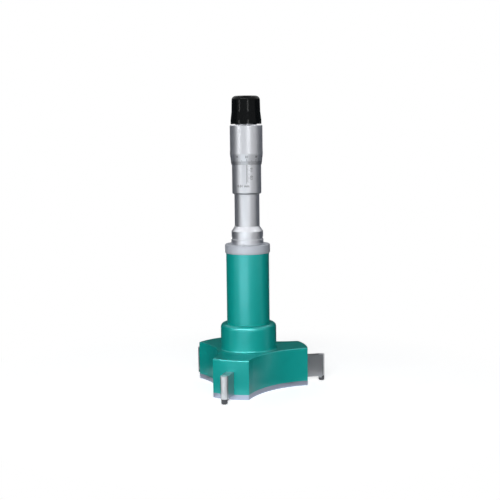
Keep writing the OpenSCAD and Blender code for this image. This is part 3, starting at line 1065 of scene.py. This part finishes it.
@dataclass(frozen=True)
class Softbox:
    """A soft lamp that faces the object; sizes in metres, angles in degrees, power in watts."""

    name: str
    azimuth: float
    elevation: float
    distance: float
    width: float
    height: float
    power: float
    mirrored: bool = True
    tint: tuple[float, float, float] = (1.0, 1.0, 1.0)
    aim: tuple[float, float, float] = (0.0, 0.0, 0.08)

    def place(self) -> None:
        """Put the lamp in the scene."""
        lamp = bpy.data.lights.new(self.name, "AREA")
        lamp.shape = "RECTANGLE"
        lamp.size = self.width
        lamp.size_y = self.height
        lamp.energy = self.power
        lamp.color = self.tint
        holder = put(self.name, lamp)
        turn, rise = math.radians(self.azimuth), math.radians(self.elevation)
        away = Vector((math.sin(turn) * math.cos(rise), -math.cos(turn) * math.cos(rise), math.sin(rise)))
        holder.location = Vector(self.aim) + self.distance * away
        holder.rotation_euler = away.to_track_quat("Z", "Y").to_euler()
        holder.visible_glossy = self.mirrored
        LOG.info("lamp %s is placed", self.name)


@dataclass(frozen=True)
class CardForm:
    """What a card is cut to: reach and height of its lower and upper edge in metres, colour and glow."""

    foot: tuple[float, float] = (0.055, 0.002)
    head: tuple[float, float] = (0.4, 0.3)
    colour: tuple[int, int, int] = (104, 110, 120)
    glow: float = 0.0


# Painted shade: a dark apron and a dimly glowing mat lie in the floor bays between the arms. Only reflections
# see them, and they darken the floor there as if the base shaded it.
SHADE_APRON = CardForm((0.034, 0.001), (0.07, 0.0015), (26, 28, 32))
SHADE_MAT = CardForm((0.02, 0.0004), (0.07, 0.0006), (60, 60, 60), 0.54)
BANK = CardForm(head=(0.135, 0.07), colour=(44, 47, 52))
FLAG = CardForm(foot=(0.135, 0.07))


@dataclass(frozen=True)
class Card:
    """A curved card that only reflections see, between two angles in degrees."""

    name: str
    start: float
    end: float
    form: CardForm
    steps: ClassVar[int] = 24
    dullness: ClassVar[float] = 0.9

    def place(self) -> None:
        """Put the card in the scene."""
        sheet = bmesh.new()
        span = self.end - self.start
        angles = [math.radians(self.start + span * i / self.steps) for i in range(self.steps + 1)]
        lower, upper = (
            [sheet.verts.new((reach * math.sin(a), -reach * math.cos(a), height)) for a in angles]
            for reach, height in (self.form.foot, self.form.head)
        )
        bridge(sheet, lower, upper)
        cloth = CardCloth(f"{self.name}_cloth", self.form.colour, self.dullness, glow=self.form.glow)
        holder = make_object(self.name, sheet, cloth)
        holder.active_material.cycles.emission_sampling = "NONE"
        holder.visible_camera = holder.visible_diffuse = holder.visible_shadow = False
        LOG.info("card %s is placed", self.name)


@dataclass(frozen=True)
class Viewpoint:
    """The camera as fitted to the picture; sizes in millimetres, angles in degrees, clip in metres."""

    azimuth: float = 18.0
    distance: float = 650.0
    height: float = 167.8
    heading: float = -0.14
    pitch: float = 6.86
    roll: float = -0.69
    focal_pixels: float = 1006.0
    frame_pixels: float = 500.0
    sensor: float = 36.0
    clip: tuple[float, float] = (0.01, 50.0)

    def place(self) -> None:
        """Put the camera in the scene."""
        turn = math.radians(self.azimuth)
        head = math.radians(self.azimuth + self.heading)
        dip = math.radians(self.pitch)
        lean = math.radians(self.roll)
        right = Vector((math.cos(head), math.sin(head), 0))
        forward = Vector((-math.sin(head) * math.cos(dip), math.cos(head) * math.cos(dip), -math.sin(dip)))
        up = right.cross(forward)
        tilted_right = right * math.cos(lean) + up * math.sin(lean)
        tilted_up = up * math.cos(lean) - right * math.sin(lean)
        lens = bpy.data.cameras.new("camera")
        lens.sensor_width = self.sensor
        lens.lens = self.focal_pixels / self.frame_pixels * self.sensor
        lens.clip_start, lens.clip_end = self.clip
        holder = put("camera", lens)
        pose = Matrix((tilted_right, tilted_up, -forward)).transposed().to_4x4()
        spot = Vector((self.distance * math.sin(turn), -self.distance * math.cos(turn), self.height))
        pose.translation = MM * spot
        holder.matrix_world = pose
        bpy.context.scene.camera = holder
        LOG.info("camera is placed")


@dataclass
class Studio:
    """Floor, world, lamps, cards and camera; the floor's reach in metres, its gap in millimetres."""

    ambient: float = 0.045
    ambient_tint: tuple[float, float, float, float] = (0.95, 0.98, 1.0, 1.0)
    floor_reach: float = 6.0
    floor_gap: float = 0.05
    floor_segments: int = 8
    lamps: tuple[Softbox, ...] = (
        Softbox("key_lamp", 12.0, 23.0, 0.9, 0.55, 0.6, 4.6, mirrored=False),
        Softbox(
            "strip_lamp", -3.0, 0.0, 0.3, 0.27, 0.05, 0.165, tint=(0.86, 0.92, 0.95), aim=(0.0, 0.0, 0.026)
        ),
        Softbox("left_streak", -35.0, 2.0, 0.9, 0.06, 0.2, 0.5, aim=(0.0, 0.0, 0.18)),
        Softbox("right_streak", 34.0, 2.0, 0.9, 0.06, 0.2, 0.55, aim=(0.0, 0.0, 0.18)),
        Softbox("back_lamp", 198.0, 30.0, 1.0, 0.8, 0.6, 2.0, mirrored=False),
    )
    cards: tuple[Card, ...] = (
        Card("front_apron", -54.0, 94.0, CardForm(head=(0.55, 0.004), colour=(56, 60, 66))),
        # The shade aprons and mats paint shade on the floor in the bays between the arms, for reflections
        # only.
        Card("right_shade_apron", 26.0, 90.0, SHADE_APRON),
        Card("right_mat", 17.0, 106.0, SHADE_MAT),
        Card("left_shade_apron", -96.0, -26.0, SHADE_APRON),
        Card("left_mat", -106.0, -17.0, SHADE_MAT),
        Card("right_bank", 94.0, 170.0, BANK),
        Card("left_bank", -135.0, -54.0, BANK),
        Card("right_flag", 94.0, 170.0, FLAG),
        Card("left_flag", -135.0, -54.0, FLAG),
        Card("back_flag", 170.0, 225.0, CardForm((0.9, 0.002), (1.0, 0.62), (46, 49, 54))),
        Card("front_gauze", -54.0, 94.0, CardForm((1.3, 0.0), (1.3, 0.7), (20, 20, 20), 0.5)),
        Card("edge_card", -40.0, 42.0, CardForm((0.78, 0.6), (0.75, 0.72), glow=30.0)),
        Card("edge_flag", -60.0, 62.0, CardForm((0.3, 0.3), (0.3, 0.39), (30, 30, 30), 1.0)),
        Card("ceiling_flag", 0.0, 360.0, CardForm((0.3, 0.95), (0.01, 0.95))),
        Card("edge_ring", 0.0, 360.0, CardForm((0.43, 0.85), (0.34, 0.9), glow=1.6)),
    )

    def build(self) -> None:
        """Build the whole studio."""
        bpy.context.scene.view_settings.view_transform = "Standard"
        self.lay_floor()
        self.light_world()
        for part in self.lamps + self.cards:
            part.place()
        Viewpoint().place()

    def lay_floor(self) -> None:
        """Lay the floor just under the object."""
        sheet = bmesh.new()
        bmesh.ops.create_grid(
            sheet, x_segments=self.floor_segments, y_segments=self.floor_segments, size=self.floor_reach
        )
        bmesh.ops.translate(sheet, verts=sheet.verts[:], vec=(0, 0, -self.floor_gap * MM))
        make_object("floor", sheet, WHITE_FLOOR)
        LOG.info("floor is laid")

    def light_world(self) -> None:
        """Give the world a soft even light that is seen as white."""
        world = bpy.data.worlds.new("studio_world")
        world.use_nodes = True
        bpy.context.scene.world = world
        graph = Graph(world.node_tree)
        dim = {"Color": self.ambient_tint, "Strength": self.ambient}
        soft = graph.add("ShaderNodeBackground", sockets=dim)
        white = graph.add("ShaderNodeBackground", sockets={"Color": WHITE, "Strength": 1.0})
        shader = graph.add("ShaderNodeMixShader", sockets={0: graph.seen(), 1: soft, 2: white})
        graph.add("ShaderNodeOutputWorld", sockets={"Surface": shader})
        LOG.info("world is lit")


def main() -> None:
    """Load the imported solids, dress them, build the pieces and set the studio."""
    logging.basicConfig(level=logging.INFO, format="%(name)s: %(message)s")
    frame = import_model()
    for assembly in (Head, Anvils, ConeDrive, Stem, Thimble, Ratchet):
        assembly(frame["nodes"]).build()
    Studio().build()


if __name__ == "__main__":
    main()
